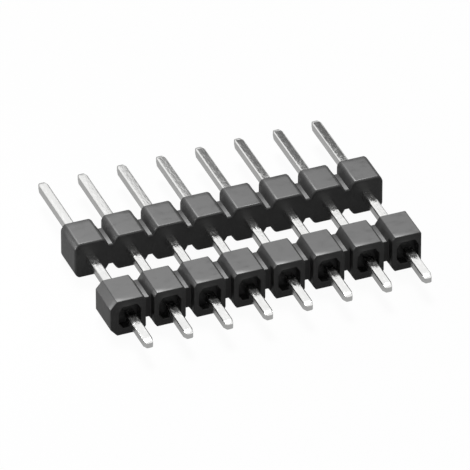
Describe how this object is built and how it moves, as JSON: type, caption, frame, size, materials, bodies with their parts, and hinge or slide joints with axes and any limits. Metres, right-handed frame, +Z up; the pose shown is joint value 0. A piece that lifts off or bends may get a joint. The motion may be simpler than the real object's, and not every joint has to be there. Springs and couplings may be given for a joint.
{
  "type": "pin header strip",
  "caption": "Single-row straight pin header strip with square pins held in two spaced insulators, for stacking two circuit boards.",
  "frame": {"origin": "middle of the footprint, on the surface that the strip lies on", "axes": "+X along the row, +Y along the pins towards the contact ends, +Z up through the thickness"},
  "size_m": [0.02, 0.0178, 0.0024],
  "materials": {
    "insulator": "moulded black plastic, satin",
    "pin": "bright tin plating, drawn lengthwise"
  },
  "bodies": {
    "root": {"lower_insulator": "insulator", "upper_insulator": "insulator", "pin_1": "pin", "pin_2": "pin", "pin_3": "pin", "pin_4": "pin", "pin_5": "pin", "pin_6": "pin", "pin_7": "pin", "pin_8": "pin"}
  },
  "joints": []
}
